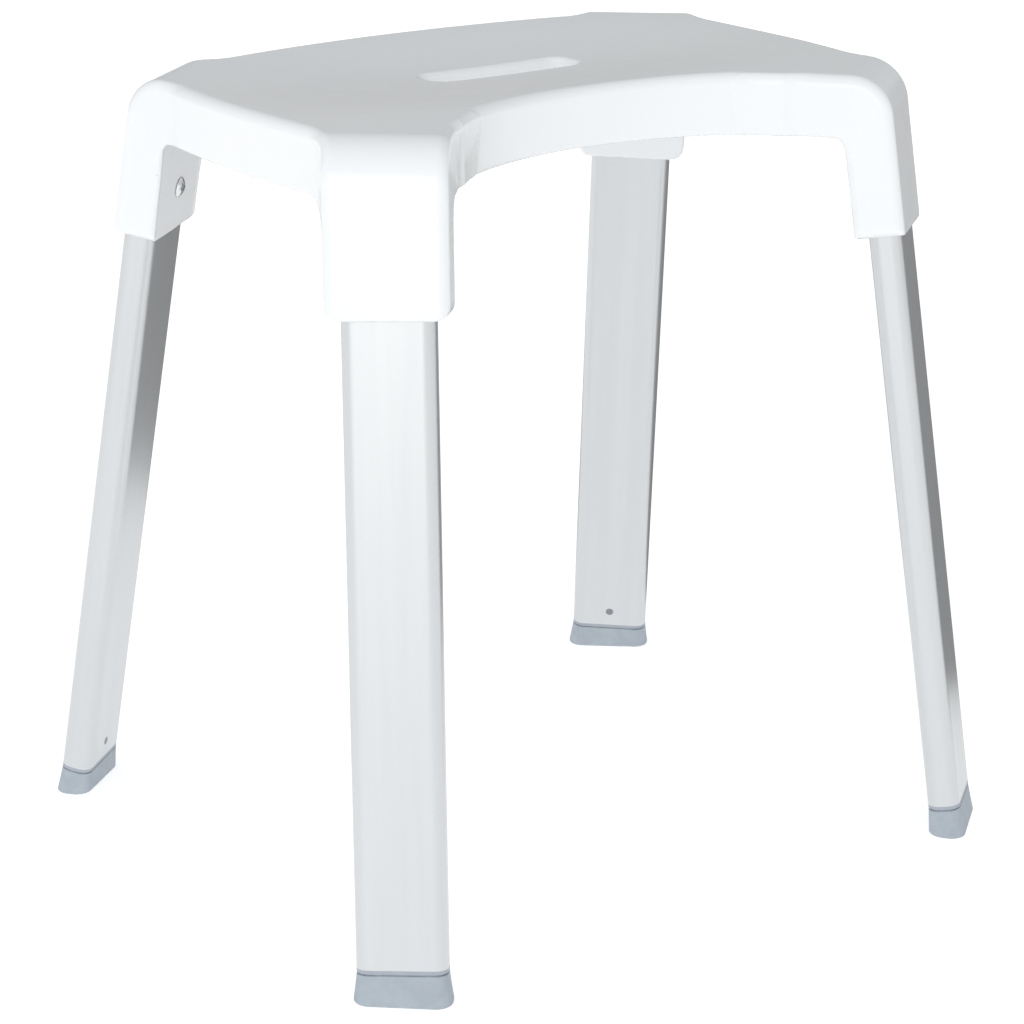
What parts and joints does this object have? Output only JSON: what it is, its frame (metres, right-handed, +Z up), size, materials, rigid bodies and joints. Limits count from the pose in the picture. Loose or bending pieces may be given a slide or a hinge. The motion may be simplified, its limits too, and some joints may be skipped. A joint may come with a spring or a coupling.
{
  "type": "shower stool",
  "caption": "Shower stool with a white moulded seat cut back at the front, a handle slot and splayed aluminium legs on rubber feet.",
  "frame": {"origin": "on the floor at the middle of the stool's footprint", "axes": "+Z up, X along the long side of the seat, -Y to the front, where the seat edge is cut back"},
  "size_m": [0.4408, 0.3884, 0.44],
  "materials": {
    "seat_plastic": "gloss white moulded polypropylene",
    "leg_aluminium": "satin anodised",
    "plug_nylon": "matte",
    "screw_steel": "polished stainless",
    "collar_plastic": "matte",
    "foot_rubber": "matte grey",
    "button_plastic": "matte",
    "spring_steel": "bright wire"
  },
  "bodies": {
    "stool": {"seat_shell": "seat_plastic", "leg_front_left": "leg_aluminium", "leg_front_right": "leg_aluminium", "leg_rear_left": "leg_aluminium", "leg_rear_right": "leg_aluminium", "leg_plug_front_left": "plug_nylon", "leg_plug_front_right": "plug_nylon", "leg_plug_rear_left": "plug_nylon", "leg_plug_rear_right": "plug_nylon", "leg_screw_front_left": "screw_steel", "leg_screw_front_right": "screw_steel", "leg_screw_rear_left": "screw_steel", "leg_screw_rear_right": "screw_steel", "foot_insert_front_left": "collar_plastic", "foot_insert_front_right": "collar_plastic", "foot_insert_rear_left": "collar_plastic", "foot_insert_rear_right": "collar_plastic", "foot_rubber_front_left": "foot_rubber", "foot_rubber_front_right": "foot_rubber", "foot_rubber_rear_left": "foot_rubber", "foot_rubber_rear_right": "foot_rubber", "lock_spring_front_left": "spring_steel", "lock_spring_front_right": "spring_steel", "lock_spring_rear_left": "spring_steel", "lock_spring_rear_right": "spring_steel"},
    "button_front_left": {"lock_button_front_left": "button_plastic"},
    "button_front_right": {"lock_button_front_right": "button_plastic"},
    "button_rear_left": {"lock_button_rear_left": "button_plastic"},
    "button_rear_right": {"lock_button_rear_right": "button_plastic"}
  },
  "joints": [
    {"name": "button_front_left_press", "type": "slide", "parent": "stool", "child": "button_front_left", "axis": [-0.6322, -0.761, 0.1454], "range_m": [0, 0.0025], "stiffness_N_per_m": 400, "springref_m": -0.001, "deforming": ["lock_spring_front_left"]},
    {"name": "button_front_right_press", "type": "slide", "parent": "stool", "child": "button_front_right", "axis": [0.6322, -0.761, 0.1454], "range_m": [0, 0.0025], "stiffness_N_per_m": 400, "springref_m": -0.001, "deforming": ["lock_spring_front_right"]},
    {"name": "button_rear_left_press", "type": "slide", "parent": "stool", "child": "button_rear_left", "axis": [-0.6203, 0.764, 0.1777], "range_m": [0, 0.0025], "stiffness_N_per_m": 400, "springref_m": -0.001, "deforming": ["lock_spring_rear_left"]},
    {"name": "button_rear_right_press", "type": "slide", "parent": "stool", "child": "button_rear_right", "axis": [0.6203, 0.764, 0.1777], "range_m": [0, 0.0025], "stiffness_N_per_m": 400, "springref_m": -0.001, "deforming": ["lock_spring_rear_right"]}
  ]
}
